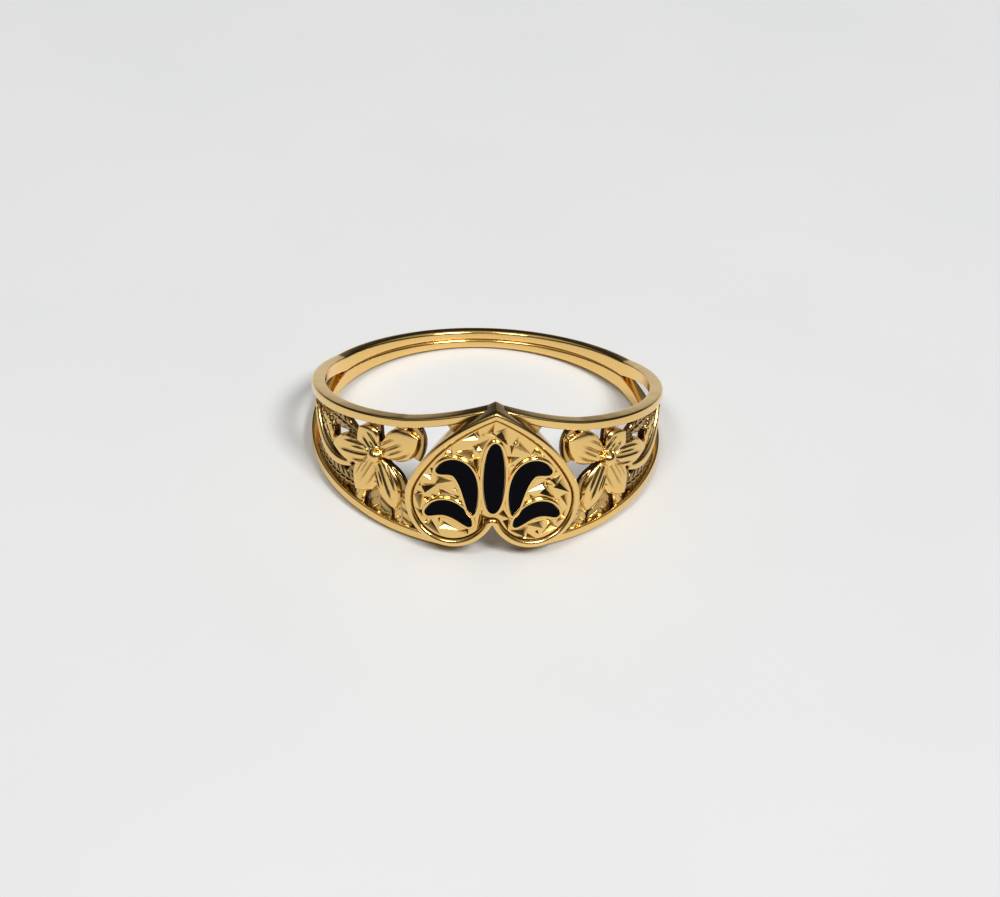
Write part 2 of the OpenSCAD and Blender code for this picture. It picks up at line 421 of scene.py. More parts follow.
def finished(tree, geometry, material):
    """Ends a tree: what it made becomes real and takes its material."""
    real = add(tree, "GeometryNodeRealizeInstances", {"Geometry": geometry})
    metal = add(
        tree, "GeometryNodeSetMaterial", {"Geometry": real.outputs[0], "Material": material}
    )
    out = tree.nodes.new("NodeGroupOutput")
    tree.links.new(metal.outputs[0], out.inputs[0])
    return tree


def wire_tree():
    """Lays a wire with soft edges along the band.

    Each point of the mesh it is put on is a station: its x is the distance along the band,
    its y the height of the wire's middle and its z half the wire's own height.
    """
    tree, given = new_tree(
        "Wire along the band",
        [
            ("Geometry", "Geometry"),
            ("Last station", "Int"),
            ("Section points", "Int"),
            ("Middle level", "Float"),
            ("Half thickness", "Float"),
            ("Metal", "Material"),
        ],
    )
    last = given["Last station"]
    tube = add(
        tree,
        "GeometryNodeMeshCylinder",
        {
            "Vertices": given["Section points"],
            "Side Segments": last,
            "Radius": 1.0,
            "Depth": last,
        },
        fill_type="NONE",
    )
    # the tube is laid along x, so that each ring of its points has its station's number for x
    half_way = add(tree, "ShaderNodeMath", {0: last, 1: 0.5}, operation="MULTIPLY")
    shift = add(tree, "ShaderNodeCombineXYZ", {0: half_way.outputs[0]})
    laid = add(
        tree,
        "GeometryNodeTransform",
        {
            "Geometry": tube.outputs["Mesh"],
            "Translation": shift.outputs[0],
            "Rotation": (0, math.pi / 2, 0),
        },
    )
    here = add(tree, "GeometryNodeInputPosition").outputs[0]
    part = add(tree, "ShaderNodeSeparateXYZ", {0: here}).outputs
    number = add(tree, "ShaderNodeMath", {0: part["X"]}, operation="ROUND")
    station = add(
        tree,
        "GeometryNodeSampleIndex",
        {"Geometry": given["Geometry"], "Value": here, "Index": number.outputs[0]},
        data_type="FLOAT_VECTOR",
    )
    worn = [
        add(
            tree,
            "GeometryNodeSampleIndex",
            {
                "Geometry": given["Geometry"],
                "Value": add(tree, "GeometryNodeInputNamedAttribute", {"Name": word}).outputs[0],
                "Index": number.outputs[0],
            },
        ).outputs[0]
        for word in ("inner_wear", "outer_wear")
    ]
    read = add(tree, "ShaderNodeSeparateXYZ", {0: station.outputs[0]}).outputs
    middle = add(
        tree, "ShaderNodeCombineXYZ", {0: read["X"], 1: read["Y"], 2: given["Middle level"]}
    )
    size = add(tree, "ShaderNodeCombineXYZ", {1: read["Z"], 2: given["Half thickness"]})
    # the round section is squared off, and keeps soft edges where it is worn
    softness = add(
        tree,
        "ShaderNodeMapRange",
        {
            "Value": part["Z"],
            "From Min": -0.5,
            "From Max": 0.5,
            "To Min": worn[0],
            "To Max": worn[1],
        },
    )
    length = add(tree, "ShaderNodeVectorMath", {0: here}, operation="ABSOLUTE")
    squared = add(
        tree,
        "ShaderNodeVectorMath",
        {0: length.outputs[0], 1: softness.outputs[0]},
        operation="POWER",
    )
    facing = add(tree, "ShaderNodeVectorMath", {0: here}, operation="SIGN")
    corner = add(
        tree,
        "ShaderNodeVectorMath",
        {0: facing.outputs[0], 1: squared.outputs[0]},
        operation="MULTIPLY",
    )
    place = add(
        tree,
        "ShaderNodeVectorMath",
        {0: corner.outputs[0], 1: size.outputs[0], 2: middle.outputs[0]},
        operation="MULTIPLY_ADD",
    )
    swept = add(
        tree,
        "GeometryNodeSetPosition",
        {"Geometry": laid.outputs[0], "Position": place.outputs[0]},
    )
    return finished(tree, swept.outputs[0], given["Metal"])


def roll_tree():
    """Rolls flat-laid work into a ring: x runs along the band, y up, z out from the axis."""
    tree, given = new_tree(
        "Roll round the finger",
        [("Geometry", "Geometry"), ("Band radius", "Float"), ("Metal", "Material")],
    )
    here = add(tree, "GeometryNodeInputPosition").outputs[0]
    flat = add(tree, "ShaderNodeSeparateXYZ", {0: here}).outputs
    angle = add(
        tree, "ShaderNodeMath", {0: flat["X"], 1: given["Band radius"]}, operation="DIVIDE"
    )
    forwards = add(tree, "ShaderNodeMath", {0: flat["Z"], 1: -1.0}, operation="MULTIPLY")
    front = add(tree, "ShaderNodeCombineXYZ", {1: forwards.outputs[0], 2: flat["Y"]})
    place = add(
        tree,
        "ShaderNodeVectorRotate",
        {"Vector": front.outputs[0], "Angle": angle.outputs[0]},
        rotation_type="Z_AXIS",
    )
    rolled = add(
        tree,
        "GeometryNodeSetPosition",
        {"Geometry": given["Geometry"], "Position": place.outputs[0]},
    )
    return finished(tree, rolled.outputs[0], given["Metal"])


def flower_tree():
    """Sets a petal at each point, turned and sized as the point says, and a bead."""
    tree, given = new_tree(
        "Petals round a bead",
        [
            ("Geometry", "Geometry"),
            ("Petal", "Object"),
            ("Bead radius", "Float"),
            ("Bead level", "Float"),
            ("Metal", "Material"),
        ],
    )
    petal = add(tree, "GeometryNodeObjectInfo", {"Object": given["Petal"]})
    named = [
        add(tree, "GeometryNodeInputNamedAttribute", {"Name": word}, data_type="FLOAT").outputs[0]
        for word in ("turn", "long", "wide")
    ]
    turn = add(tree, "ShaderNodeCombineXYZ", {2: named[0]})
    size = add(tree, "ShaderNodeCombineXYZ", {0: named[1], 1: named[2], 2: 1.0})
    petals = add(
        tree,
        "GeometryNodeInstanceOnPoints",
        {
            "Points": given["Geometry"],
            "Instance": petal.outputs["Geometry"],
            "Rotation": turn.outputs[0],
            "Scale": size.outputs[0],
        },
    )
    ball = add(
        tree,
        "GeometryNodeMeshUVSphere",
        {"Segments": 40, "Rings": 24, "Radius": given["Bead radius"]},
    )
    lift = add(tree, "ShaderNodeCombineXYZ", {2: given["Bead level"]})
    bead = add(
        tree, "GeometryNodeTransform", {"Geometry": ball.outputs[0], "Translation": lift.outputs[0]}
    )
    both = add(tree, "GeometryNodeJoinGeometry")
    for part in (bead.outputs[0], petals.outputs[0]):
        tree.links.new(part, both.inputs[0])
    return finished(tree, both.outputs[0], given["Metal"])


# Materials


def new_material(name):
    """An empty material of that name, its node tree and its shader."""
    material = bpy.data.materials.new(name)
    material.use_nodes = True
    tree = material.node_tree
    tree.nodes.clear()
    shader = add(tree, "ShaderNodeBsdfPrincipled")
    add(tree, "ShaderNodeOutputMaterial", {"Surface": shader.outputs[0]})
    return material, tree, shader


def noise(tree, place, scale, detail, roughness=0.5):
    """Cloudy values about one half. The scale is in clouds to the metre."""
    cloud = add(
        tree,
        "ShaderNodeTexNoise",
        {"Vector": place, "Scale": scale, "Detail": detail, "Roughness": roughness},
    )
    return cloud.outputs["Fac"]


def bumped(tree, height, distance, **under):
    """Relief of that many metres, on top of an earlier one if there is one."""
    inputs = {"Height": height, "Strength": 1.0, "Distance": distance, **under}
    return add(tree, "ShaderNodeBump", inputs).outputs[0]


def blended(tree, factor, first, second):
    """A colour between two, given as sRGB hex."""
    # the node's sockets 6 and 7 take the colours, and its socket 2 gives the result
    inputs = {"Factor": factor, 6: linear(first), 7: linear(second)}
    return add(tree, "ShaderNodeMix", inputs, data_type="RGBA").outputs[2]


def gold_material(name, colours, roughness, spread, wave_height, scratch_depth):
    """Cast yellow gold, buffed by hand.

    The buffing leaves a soft shine, not a mirror: broad low waves bend the reflections,
    faint scratches blur them, and the shine varies a little from place to place.
    """
    material, tree, shader = new_material(name)
    place = add(tree, "ShaderNodeTexCoord").outputs["Object"]
    # low waves about 1.5 mm apart, scratches about 0.05 mm wide
    waves = noise(tree, place, 700.0, 2.0, 0.4)
    # squeezed upwards, the scratches run along the band
    drawn = add(tree, "ShaderNodeMapping", {"Vector": place, "Scale": (1.0, 1.0, 7.0)})
    scratches = noise(tree, drawn.outputs[0], 4000.0, 4.0, 0.6)
    shine = add(
        tree,
        "ShaderNodeMapRange",
        {
            "Value": noise(tree, place, 400.0, 4.0, 0.55),
            "From Min": 0.35,
            "From Max": 0.65,
            "To Min": roughness - spread,
            "To Max": roughness + spread,
        },
    )
    # painted shade: the metal darkens towards the deep gold colour in recesses, veins and cuts
    recess = add(tree, "ShaderNodeAttribute", attribute_name="recess").outputs["Fac"]
    shaded_gold = blended(tree, recess, colours.gold, colours.gold_painted_shade)
    wavy = bumped(tree, waves, wave_height)
    tree.links.new(shaded_gold, shader.inputs["Base Color"])
    tree.links.new(shine.outputs[0], shader.inputs["Roughness"])
    tree.links.new(bumped(tree, scratches, scratch_depth, Normal=wavy), shader.inputs["Normal"])
    shader.inputs["Metallic"].default_value = 1.0
    return material


# The second tone that each of these plain surfaces drifts towards
ENAMEL_TONE, TABLE_TONE = "#030309", "#e6e7e7"


def enamel_material(name, colours):
    """Vitreous enamel, fired in its cell and polished level.

    It is glass: near black with a little blue, under a faint even gloss.
    """
    material, tree, shader = new_material(name)
    place = add(tree, "ShaderNodeTexCoord").outputs["Object"]
    # the fired surface rolls gently, about 1 mm from crest to crest
    roll = noise(tree, place, 900.0, 1.0)
    tree.links.new(blended(tree, roll, colours.enamel, ENAMEL_TONE), shader.inputs["Base Color"])
    tree.links.new(bumped(tree, roll, 0.000012), shader.inputs["Normal"])
    shader.inputs["Roughness"].default_value = 0.14
    shader.inputs["Specular IOR Level"].default_value = 0.05
    return material


def table_material(name, colours):
    """Coated white board: plain, pale and matt, with a faint uneven tone."""
    material, tree, shader = new_material(name)
    place = add(tree, "ShaderNodeTexCoord").outputs["Object"]
    tone = noise(tree, place, 60.0, 3.0)
    tree.links.new(blended(tree, tone, colours.table, TABLE_TONE), shader.inputs["Base Color"])
    shader.inputs["Roughness"].default_value = 0.6
    return material


FINISHES = {
    # for gold: roughness and how far it varies, height of waves and scratches in metres
    "wire": (gold_material, "Buffed yellow gold wire", 0.13, 0.03, 0.000016, 0.0000005),
    "cast": (gold_material, "Cast yellow gold", 0.2, 0.05, 0.00003, 0.0000012),
    "cut": (gold_material, "Graver-cut yellow gold", 0.16, 0.04, 0.000012, 0.0000006),
    "enamel": (enamel_material, "Fired black enamel"),
    "table": (table_material, "Matt white board"),
}


def finish_of(word):
    """A finish's material, made the first time it is asked for."""
    make, name, *values = FINISHES[word]
    colours = bpy.context.scene.ring_colours
    return bpy.data.materials.get(name) or make(name, colours, *values)


def set_painted_shade(obj, values):
    """How much painted shade each point gets, from 0 to 1, darkening the metal's colour the deeper
    it lies in a recess.
    """
    layer = obj.data.attributes.new("recess", "FLOAT", "POINT")
    layer.data.foreach_set("value", np.clip(values, 0, 1).astype(np.float32))


# The pieces


def rolled(obj, tree, radius, finish, slot, node, crease=38):
    """Rolls flat-laid work round the finger, as the object's own mesh, and seats it."""
    with_nodes(obj, tree, band_radius=radius, metal=finish_of(finish))
    made_plain(obj)
    seated(obj, slot, node, crease=crease)


# How round the wires' edges are worn, from 0 for square to 1 for round, at the head and at the back
WEAR = (("inner_wear", 0.12, 0.5), ("outer_wear", 0.36, 0.62))


class RING_OT_wires(bpy.types.Operator):
    """Sweeps the two wires of the shank, which part at the forks and rise to the head"""

    bl_idname = "ring.wires"
    bl_label = "Wires"

    def execute(self, context):
        s = context.scene.ring_sizes
        inner, thick = mm(s.finger_hole) / 2, mm(s.wire_thickness)
        wire, roll = wire_tree(), roll_tree()
        for name, edge, sign, start in (
            ("upper_wire", upper_edge, 1, math.pi),
            ("lower_wire", lower_edge, -1, math.pi - FOOT),
        ):
            # one station to a degree
            last = 2 * round(math.degrees(start))
            middle = 0.0 if sign > 0 else math.pi
            stations, wear = [], []
            for i in range(last + 1):
                a = middle + start * (2 * i / last - 1)
                off = abs((a + math.pi) % math.tau - math.pi)
                half = wire_at(s, off) / 2
                stations.append([a * WORK_MAP_R, sign * (edge(s, off) - half), half])
                wear.append(min(max((off - BACK_FROM) / (BACK_FULL - BACK_FROM), 0), 1))
            obj = new_object(name, stations, [])
            for word, front, back in WEAR:
                layer = obj.data.attributes.new(word, "FLOAT", "POINT")
                layer.data.foreach_set("value", [front + (back - front) * w for w in wear])
            with_nodes(
                obj,
                wire,
                last_station=last,
                section_points=64,
                middle_level=inner + thick / 2,
                half_thickness=thick / 2,
                metal=finish_of("wire"),
            )
            rolled(obj, roll, WORK_MAP_R, "wire", "gold", "ring")
        return {"FINISHED"}


# The right shoulder's work, laid flat: x runs along the band from the middle of the head, y up
PETALS = [
    # tip, width
    ([3.9, 2.42], 1.8),
    ([7.65, 2.05], 1.7),
    ([9.85, 0.2], 1.6),
    ([7.9, -1.62], 1.75),
    ([5.2, -1.85], 1.5),
]
STEMS = [
    # base, bend, tip, width, swell, outer level, top roundness
    ([10.2, 0.05], [10.7, 0.95], [11.75, 1.35], 1.15, 1, 9.44, 0.16),
    ([8.4, -0.45], [11.7, -1.7], [13.1, 1.5], 0.62, 0.5, 9.42, 0.16),
    ([4.9, 2], [5, 2.6], [4.95, 3.1], 0.62, 0, 9.34, 0.14),
    ([4.55, 3.1], [3.5, 2.4], [4.15, 1.1], 0.5, 0, 9.26, 0.1),
    ([7.6, -1.3], [7.75, -1.9], [7.9, -2.6], 0.7, 0, 9.33, 0.12),
    ([5.05, -1.3], [4.9, -2.2], [4.85, -3], 1.1, 0, 9.32, 0.12),
    ([0.85, 3.95], [1.6, 3.6], [2.3, 3.1], 0.75, 0, 9.28, 0.1),
    ([9.4, 0.2], [9.9, 0.15], [10.5, 0.2], 0.4, 0, 9.28, 0.1),
    # sunk sheet that backs the work between its leaves and the wires
    ([8, 1.4], [10.6, 1.95], [13.4, 1.25], 1.3, 0.95, 9.22, 0.1),
    ([7.6, -1.5], [10.4, -1.8], [13.4, -1.05], 1.3, 0.95, 9.22, 0.1),
    ([6.75, 1.5], [6.8, 2.1], [6.85, 2.75], 0.8, 0, 9.18, 0.05),
    ([5.8, 0.1], [5, -0.1], [4.7, -1.3], 0.5, 0, 9.2, 0.05),
    ([8.2, -0.6], [8.6, -0.9], [8.9, -1.6], 0.6, 0, 9.16, 0.05),
    ([6.3, -0.6], [6.5, -1.7], [6.3, -2.8], 1.5, 0, 9.24, 0.1),
]
# Stems this wide are leaves. Their side lines lie this far apart, below the petals' level.
LEAF_WIDTH, LEAF_LINES, LEAF_TOP = 0.95, 0.5, 9.46
FLOWER = np.array([6.5, 0.8])
BEAD_RADIUS, BEAD_LEVEL = 0.4, 9.5
WORK_BACK = 8.85
PETAL_TOP = 9.56
# Work below this level lies in a recess and gets painted shade, full painted shade this much deeper
PAINTED_SHADE_TOP, PAINTED_SHADE_DEPTH = 9.36, 0.25
VEIN_DEPTH = 0.11
VEINS = [
    # across the petal, start, end, width
    (-0.56, 0.26, 0.66, 0.055),
    (-0.08, 0.14, 0.8, 0.07),
    (0.24, 0.3, 0.62, 0.04),
    (0.58, 0.22, 0.7, 0.055),
]


def petal_half(s):
    """Half width of a petal along it, as a share of its widest."""
    return np.sin(np.pi * np.asarray(s) ** 1.25) ** 0.65


def cushion(line, side, half, top, back, round_off):
    """A closed bar along a line: flat back, upright sides and a top rounded over across it."""
    q = np.linspace(-1, 1, 13)
    drop = round_off * (1 - np.sqrt(np.clip(1 - np.abs(q) ** 2.4, 0, 1)))
    rows = []
    for p, d, h, t in zip(line, side, half, top):
        across = p + np.outer(q * h, d)
        upper = np.column_stack([across, t - drop])
        lower = np.column_stack([across[[-1, 0]], [back, back]])
        rows.append(np.concatenate([upper, lower]))
    return lofted(rows)


def unit_petal():
    """A petal one long and one wide, its base at the origin."""
    s = np.linspace(0, 1, 25)
    line = np.column_stack([s, np.zeros_like(s)])
    side = np.tile([0.0, 1.0], (len(s), 1))
    half = np.maximum(petal_half(np.clip(s, 0.002, 0.995)) / 2, 0.03)
    # the petal dips at the bead and droops at its tip
    top = PETAL_TOP - 0.16 * (1 - s) ** 3 - 0.16 * np.maximum(0, s - 0.72) ** 1.2
    return cushion(line, side, half, top, WORK_BACK, 0.2)


class RING_OT_flower_work(bpy.types.Operator):
    """Casts the pierced flower work of both shoulders, with its leaves, stems and engraved veins"""

    bl_idname = "ring.flower_work"
    bl_label = "Flower work"

    def execute(self, context):
        s = context.scene.ring_sizes
        petal = new_object("petal_pattern", *unit_petal())
        petals, roll = flower_tree(), roll_tree()
        for hand, sign in (("left", -1), ("right", 1)):
            seed = random.Random(hand)
            tips = [
                (np.array(tip) + [seed.uniform(-0.07, 0.07), seed.uniform(-0.07, 0.07)], width)
                for tip, width in PETALS
            ]
            points = new_object("petal_points_" + hand, [[0, 0, 0]] * len(tips), [])
            for word, values in (
                ("turn", [math.atan2(*(tip - FLOWER)[::-1]) for tip, _ in tips]),
                ("long", [math.dist(tip, FLOWER) for tip, _ in tips]),
                ("wide", [width for _, width in tips]),
            ):
                points.data.attributes.new(word, "FLOAT", "POINT").data.foreach_set("value", values)
            with_nodes(
                points,
                petals,
                petal=petal,
                bead_radius=BEAD_RADIUS,
                bead_level=BEAD_LEVEL,
                metal=finish_of("cast"),
            )
            flower = made_plain(points)
            verts = points_of(flower) + [*FLOWER, 0]
            parts = [(verts, [list(p.vertices) for p in flower.polygons])]
            for base, bend, tip, width, swell, top, round_off in STEMS:
                t = np.linspace(0, 1, 25)
                line, side = bent(base, bend, tip, t)
                half = np.maximum(width / 2 * (1 - swell + swell * np.sin(np.pi * t)), 0.03)
                level = np.full(len(t), top)
                parts.append(cushion(line, side, half, level, WORK_BACK + 0.01, round_off))
            obj = new_object("flower_work_" + hand, *joined(parts))
            bpy.data.objects.remove(points)
            cast = obj.modifiers.new("Cast", "REMESH")
            cast.mode = "VOXEL"
            cast.voxel_size = mm(s.casting_grain)
            soft = obj.modifiers.new("Polish", "SMOOTH")
            soft.factor = 0.5
            soft.iterations = 4
            made_plain(obj)
            self.engrave(obj, tips, seed)
            if sign < 0:
                obj.data.transform(Matrix.Scale(-1, 4, (1, 0, 0)))
                obj.data.flip_normals()
            rolled(obj, roll, WORK_MAP_R, "cast", "gold", "ring", crease=180)
        bpy.data.objects.remove(petal)
        return {"FINISHED"}

    def engrave(self, obj, tips, seed):
        """Presses the veins into the petals, and paints shade into the veins and into what lies
        deep.
        """
        mesh = obj.data
        co, facing = points_of(mesh), points_of(mesh, "normal")[:, 2]
        up = np.clip((facing - 0.35) / 0.3, 0, 1)
        press = np.zeros(len(co))
        # painted shade for work that lies deep, but none on the polished side towards the finger
        sunk = np.clip((PAINTED_SHADE_TOP - co[:, 2]) / PAINTED_SHADE_DEPTH, 0, 1)
        sunk *= np.clip((facing + 0.7) / 0.4, 0, 1)
        bead = np.linalg.norm(co[:, :2] - FLOWER, axis=1) < BEAD_RADIUS + 0.02
        for tip, width in tips:
            run = tip - FLOWER
            long = np.linalg.norm(run)
            run = run / long
            rel = co[:, :2] - FLOWER
            along = rel @ run / long
            across = (rel[:, 0] * -run[1] + rel[:, 1] * run[0]) / (width / 2)
            inside = np.abs(across) < petal_half(np.clip(along, 0, 1))
            inside &= (along > 0.05) & (along < 1)
            for place, start, end, broad in VEINS:
                place, end = place + seed.uniform(-0.08, 0.08), end + seed.uniform(-0.1, 0.08)
                # the veins fan out from the bead and draw together at the tip
                fan = place * (0.35 + 0.65 * np.sin(np.clip(along, 0, 1) * math.pi) ** 0.6)
                gap = (across - fan) * width / 2
                fade = np.clip((along - start + 0.1) / 0.15, 0, 1)
                fade *= np.clip((end - along) / 0.18, 0, 1)
                press = np.maximum(press, inside * fade * np.exp(-((gap / broad) ** 2)))
        # leaves and sheets have a middle line and side lines that slant towards their tip
        for base, bend, tip, width, *_ in STEMS:
            if width < LEAF_WIDTH:
                continue
            line, side = bent(base, bend, tip, np.linspace(0, 1, 40))
            far = np.linalg.norm(co[:, None, :2] - line[None], axis=2)
            near = far.argmin(1)
            rel, out = co[:, :2] - line[near], side[near]
            across = (rel * out).sum(1)
            steps = np.linalg.norm(np.diff(line, axis=0, prepend=line[:1]), axis=1)
            along = np.cumsum(steps)[near] + rel[:, 1] * out[:, 0] - rel[:, 0] * out[:, 1]
            slant = np.cos(math.tau * (along - 0.8 * np.abs(across)) / LEAF_LINES)
            lines = np.maximum(np.exp(-((across / 0.06) ** 2)), 0.6 * np.clip(slant, 0, 1) ** 3)
            press = np.maximum(press, lines * (far.min(1) < width / 2) * (co[:, 2] < LEAF_TOP))
        press *= up * ~bead
        # painted shade: deep work and the pressed veins are darker
        set_painted_shade(obj, np.maximum(sunk, 0.5 * press))
        co[:, 2] -= VEIN_DEPTH * press
        mesh.vertices.foreach_set("co", co.ravel())
        mesh.update()


# The ground lies this deep below the border, and the fine line between them this much deeper
GROUND_DEPTH, GROOVE = 0.15, 0.09
CUT_LENGTHS = (0.95, 0.78, 0.64, 0.52, 0.42, 0.34, 0.28)
CUT_DEEPEST = 0.16
# Least distance between two cuts, as a share of both their lengths
CUT_SPACING = 0.42


def graver_cuts(count, edge, cells):
    """Middle, length, corners, deepest point and depth of each cut, the same ones each time."""
    seed = random.Random(7)
    cuts = []
    for long in CUT_LENGTHS:
        for _ in range(10 * count):
            if len(cuts) >= count:
                break
            # anywhere in a box round the heart
            spot = np.array([seed.uniform(-4.3, 4.3), seed.uniform(-2.8, 4.1)])
            turn = seed.uniform(0, math.tau)
            along = np.array([math.cos(turn), math.sin(turn)]) * long / 2
            across = np.array([-along[1], along[0]]) * seed.uniform(0.5, 0.85)
            corners = [spot + along, spot - along + across, spot - along - across]
            reach = [*corners, spot, *(0.5 * (corners[k] + corners[k - 1]) for k in range(3))]
            if all(math.dist(spot, c[0]) > CUT_SPACING * (long + c[1]) for c in cuts) and all(
                within(p, edge) and not any(within(p, cell) for cell in cells) for p in reach
            ):
                deep = min(long * seed.uniform(0.18, 0.28), CUT_DEEPEST)
                cuts.append((spot, long, corners, spot - along * 0.6, deep))
    return cuts


def cut_ground(count, edge, rim, cells, level, back):
    """A plate with a groove along its edge and three-sided cuts."""
    points = [(p, level - GROOVE) for p in edge] + [(p, level) for p in rim]
    lines = [(len(edge) + k, len(edge) + (k + 1) % len(rim)) for k in range(len(rim))]
    for _, _, corners, low, deep in graver_cuts(count, rim, cells):
        first = len(points)
        points += [(Vector(c), level) for c in corners]
        points.append((Vector(low), level - deep))
        lines += [(first + k, first + (k + 1) % 3) for k in range(3)]
        lines += [(first + k, first + 3) for k in range(3)]
    flat, _, faces, source, _, _ = delaunay_2d_cdt(
        [p for p, _ in points], lines, [list(range(len(edge)))], 1, 1e-5
    )
    # a point that the triangulation adds has no source of its own, and lies a little low
    top = [[*p, points[k[0]][1] if k else level - 0.03] for p, k in zip(flat, source)]
    bottom = [[x, y, back] for x, y, _ in top]
    under = len(top)
    runs = [(a, b) for face in faces for a, b in zip(face, face[1:] + face[:1])]
    inner = set(runs)
    sides = [[b, a, a + under, b + under] for a, b in runs if (b, a) not in inner]
    floor = [[k + under for k in face[::-1]] for face in faces]
    return np.array(top + bottom), faces + floor + sides


def within(point, outline):
    """Whether a flat point lies inside a closed outline."""
    x, y = point
    inside = False
    for a, b in zip(outline, outline[1:] + outline[:1]):
        if (a.y > y) != (b.y > y) and x < a.x + (y - a.y) / (b.y - a.y) * (b.x - a.x):
            inside = not inside
    return inside


def border_section(top, border, back, floor):
    """Across the heart's border: distance in from the edge, level, and painted shade for how deep
    in a recess it lies.
    """
    return [
        (0.03, back, 0),
        (0, back + 0.05, 0),
        (0, back + 0.4, 0.6),
        (0, top - 0.5, 0.6),
        (0, top - 0.16, 0.1),
        (0.012, top - 0.095, 0),
        (0.04, top - 0.05, 0),
        (0.085, top - 0.019, 0),
        (0.14, top - 0.004, 0),
        (border * 0.5, top, 0),
        (border - 0.14, top - 0.004, 0),
        (border - 0.085, top - 0.019, 0),
        (border - 0.04, top - 0.05, 0.1),
        (border - 0.012, top - 0.095, 0.4),
        (border, top - 0.16, 0.8),
        (border, floor, 1),
    ]


def wall_section(top, wall):
    """Across a cell's wall: distance out from the enamel, level."""
    return [
        (-0.01, top - 0.45),
        (0, top - 0.06),
        (0.02, top - 0.02),
        (wall / 2, top - 0.005),
        (wall - 0.02, top - 0.025),
        (wall, top - 0.07),
        (wall + 0.02, top - 0.45),
    ]


class RING_OT_head(bpy.types.Operator):
    """Makes the heart-shaped head: its raised border, its cut ground and its cells' walls"""

    bl_idname = "ring.head"
    bl_label = "Head"

    def execute(self, context):
        s = context.scene.ring_sizes
        top, border, wall = mm(s.head_radius), mm(s.border_width), mm(s.cell_wall)
        back, ground = mm(s.finger_hole) / 2 + 0.02, mm(s.head_radius) - GROUND_DEPTH
        floor = ground - 0.3
        roll = roll_tree()

        section = border_section(top, border, back, floor)
        rows = [with_level(heart_outline(inset), level) for inset, level, _ in section]
        # painted shade for each row: none on the back, full on the floor, and across the border as
        # its section gives
        deep = [0, 0, *(d for _, _, d in section), 1, 1]
        # the back and the floor close in on the heart's middle
        for share in (0.9, 0.02):
            flat = HEART_CENTRE + share * (heart_outline(section[0][0]) - HEART_CENTRE)
            rows.insert(0, with_level(flat, back))
            flat = HEART_CENTRE + share * (heart_outline(border) - HEART_CENTRE)
            rows.append(with_level(flat, floor))
        obj = new_object("heart_head", *lofted(rows))
        set_painted_shade(obj, np.repeat(deep, len(rows[0])))
        rolled(obj, roll, HEAD_MAP_R, "cut", "gold", "ring", crease=28)

        # the ground lies inside the border, so coarser outlines will do
        edge, rim = (
            [Vector(p) for p in heart_outline(border + d, 20, 36, 5)] for d in (-0.01, 0.09)
        )
        cells = [
            [Vector(p) for p in leaf_outline(cell, wall, 40)[0]] for cell in CELLS.values()
        ]
        verts, faces = cut_ground(s.cuts, edge, rim, cells, ground, floor - 0.05)
        obj = new_object("cut_ground", verts, faces)
        # painted shade: a cut is darker the deeper it goes
        set_painted_shade(obj, (ground - 0.03 - verts[:, 2]) / 0.15)
        rolled(obj, roll, HEAD_MAP_R, "cut", "gold", "ring", crease=2)

        walls = [
            lofted(
                [
                    with_level(leaf_outline(cell, out)[0], level)
                    for out, level in wall_section(top, wall)
                ],
                closed_rows=True,
            )
            for cell in CELLS.values()
        ]
        obj = new_object("cell_walls", *joined(walls))
        rolled(obj, roll, HEAD_MAP_R, "wire", "gold", "ring", crease=50)
        return {"FINISHED"}


# The enamel creeps up its wall and dips towards the middle
ENAMEL_TOP = [
    # share of the way out from the cell's middle line, depth below the border
    (0.985, 0.062),
    (0.95, 0.058),
    (0.85, 0.062),
    (0.6, 0.07),
    (0.3, 0.073),
    (0.02, 0.073),
]


class RING_OT_enamel(bpy.types.Operator):
    """Fills each cell of the head with enamel"""

    bl_idname = "ring.enamel"
    bl_label = "Enamel"

    def execute(self, context):
        s = context.scene.ring_sizes
        top = mm(s.head_radius)
        roll = roll_tree()
        for name, cell in CELLS.items():
            edge, line = leaf_outline(cell, -0.02)
            rows = [with_level(line + f * (edge - line), top - 0.46) for f in (0.02, 0.5, 1)]
            rows.append(with_level(edge, top - 0.1))
            rows += [with_level(line + f * (edge - line), top - drop) for f, drop in ENAMEL_TOP]
            obj = new_object(name + "_fill", *lofted(rows))
            rolled(obj, roll, HEAD_MAP_R, "enamel", "enamel", name, crease=60)
        return {"FINISHED"}


# Table, lights and camera


# A glow over the far table, a dark room above it, then the white top of the tent
TENT = [
    # height on the dome, from 0 at the horizon to 1 above, and brightness
    (0.0, 0.4),
    (0.08, 0.28),
    (0.17, 0.03),
    (0.33, 0.015),
    (0.5, 0.03),
    (0.7, 0.22),
    (0.9, 0.48),
]
LAMPS = [
    # name, place and width in metres, power in watts
    ("Left softbox", (-0.3, -0.5, 0.98), 0.34, 3.9),
    ("Right softbox", (0.42, -0.62, 0.92), 0.34, 9.3),
]
# The camera that was fitted to the photo, in degrees, metres and millimetres of film
AZIMUTH, ELEVATION, ROLL, DISTANCE = -3.3, 35.7, 2.8, 0.13
LENS, SENSOR, SHIFT = 86.2, 36.0, (0.0136, -0.0413)
# Half the table's width
TABLE_REACH = 1.2


def aimed(obj, spot, target, roll=0.0):
    """Puts a lamp or camera at a spot and turns it towards its target."""
    obj.location = spot
    turn = (Vector(target) - Vector(spot)).to_track_quat("-Z", "Y").to_matrix().to_4x4()
    obj.rotation_euler = (turn @ Matrix.Rotation(roll, 4, "Z")).to_euler()


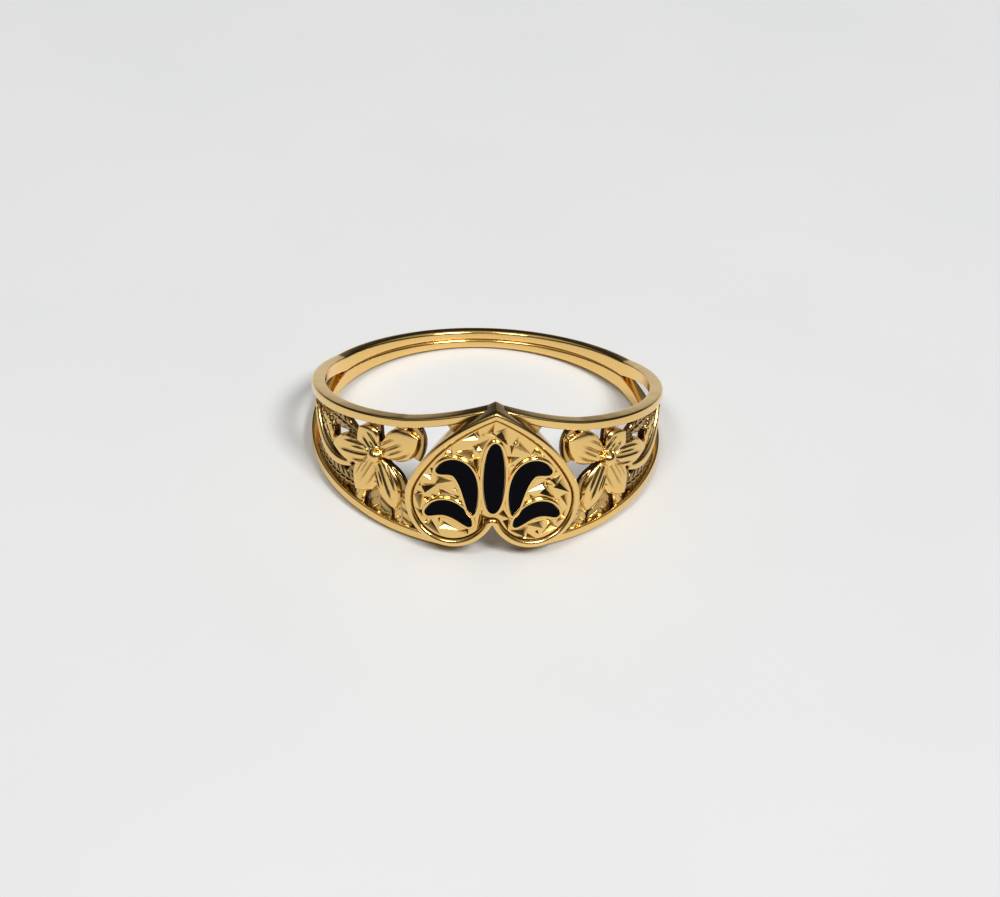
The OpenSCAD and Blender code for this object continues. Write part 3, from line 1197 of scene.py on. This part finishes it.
class RING_OT_stage(bpy.types.Operator):
    """Sets the table, the soft studio light and the camera"""

    bl_idname = "ring.stage"
    bl_label = "Table, light and camera"

    def execute(self, context):
        scene = context.scene
        corners = [
            [x * TABLE_REACH, y * TABLE_REACH, 0] for x, y in ((-1, -1), (1, -1), (1, 1), (-1, 1))
        ]
        table = new_object("table", corners, [[0, 1, 2, 3]])
        table.data.materials.append(finish_of("table"))

        # what the gold reflects
        world = bpy.data.worlds.new("White tent")
        world.use_nodes = True
        tree = world.node_tree
        tree.nodes.clear()
        towards = add(tree, "ShaderNodeTexCoord").outputs["Generated"]
        up = add(tree, "ShaderNodeSeparateXYZ", {0: towards})
        tone = add(tree, "ShaderNodeValToRGB", {"Fac": up.outputs["Z"]})
        ramp = tone.color_ramp
        for at, grey in TENT[1:-1]:
            ramp.elements.new(at).color = (grey, grey, grey, 1)
        for element, (at, grey) in ((ramp.elements[0], TENT[0]), (ramp.elements[-1], TENT[-1])):
            element.position, element.color = at, (grey, grey, grey, 1)
        back = add(tree, "ShaderNodeBackground", {"Color": tone.outputs[0], "Strength": 1.0})
        add(tree, "ShaderNodeOutputWorld", {"Surface": back.outputs[0]})
        scene.world = world

        middle = Vector(HOLE["pos_m"])
        for name, spot, width, power in LAMPS:
            lamp = bpy.data.lights.new(name, "AREA")
            lamp.size, lamp.energy = width, power
            obj = bpy.data.objects.new(name, lamp)
            scene.collection.objects.link(obj)
            aimed(obj, spot, middle)

        camera = bpy.data.cameras.new("Camera")
        camera.lens, camera.sensor_width = LENS, SENSOR
        camera.shift_x, camera.shift_y = SHIFT
        camera.clip_start = 0.005
        obj = bpy.data.objects.new("Camera", camera)
        scene.collection.objects.link(obj)
        azimuth, elevation = math.radians(AZIMUTH), math.radians(ELEVATION)
        away = Vector(
            (
                math.sin(azimuth) * math.cos(elevation),
                -math.cos(azimuth) * math.cos(elevation),
                math.sin(elevation),
            )
        )
        aimed(obj, middle + away * DISTANCE, middle, math.radians(ROLL))
        scene.camera = obj
        scene.view_settings.view_transform = "Standard"
        return {"FINISHED"}


class RING_PT_panel(bpy.types.Panel):
    """Lists the steps that build the ring"""

    bl_idname = "RING_PT_panel"
    bl_label = "Enamelled heart ring"
    bl_space_type = "VIEW_3D"
    bl_region_type = "UI"
    bl_category = "Ring"

    def draw(self, context):
        for group in (context.scene.ring_sizes, context.scene.ring_colours):
            box = self.layout.box()
            for key in group.__annotations__:
                box.prop(group, key)
        for step in STEPS:
            self.layout.operator(step.bl_idname)


STEPS = (RING_OT_wires, RING_OT_flower_work, RING_OT_head, RING_OT_enamel, RING_OT_stage)
CLASSES = (RingSizes, RingColours, *STEPS, RING_PT_panel)


def register():
    for cls in CLASSES:
        bpy.utils.register_class(cls)
    bpy.types.Scene.ring_sizes = bpy.props.PointerProperty(type=RingSizes)
    bpy.types.Scene.ring_colours = bpy.props.PointerProperty(type=RingColours)


def unregister():
    del bpy.types.Scene.ring_colours
    del bpy.types.Scene.ring_sizes
    for cls in reversed(CLASSES):
        bpy.utils.unregister_class(cls)


def main():
    register()
    bpy.ops.ring.wires()
    bpy.ops.ring.flower_work()
    bpy.ops.ring.head()
    bpy.ops.ring.enamel()
    bpy.ops.ring.stage()


if __name__ == "__main__":
    main()
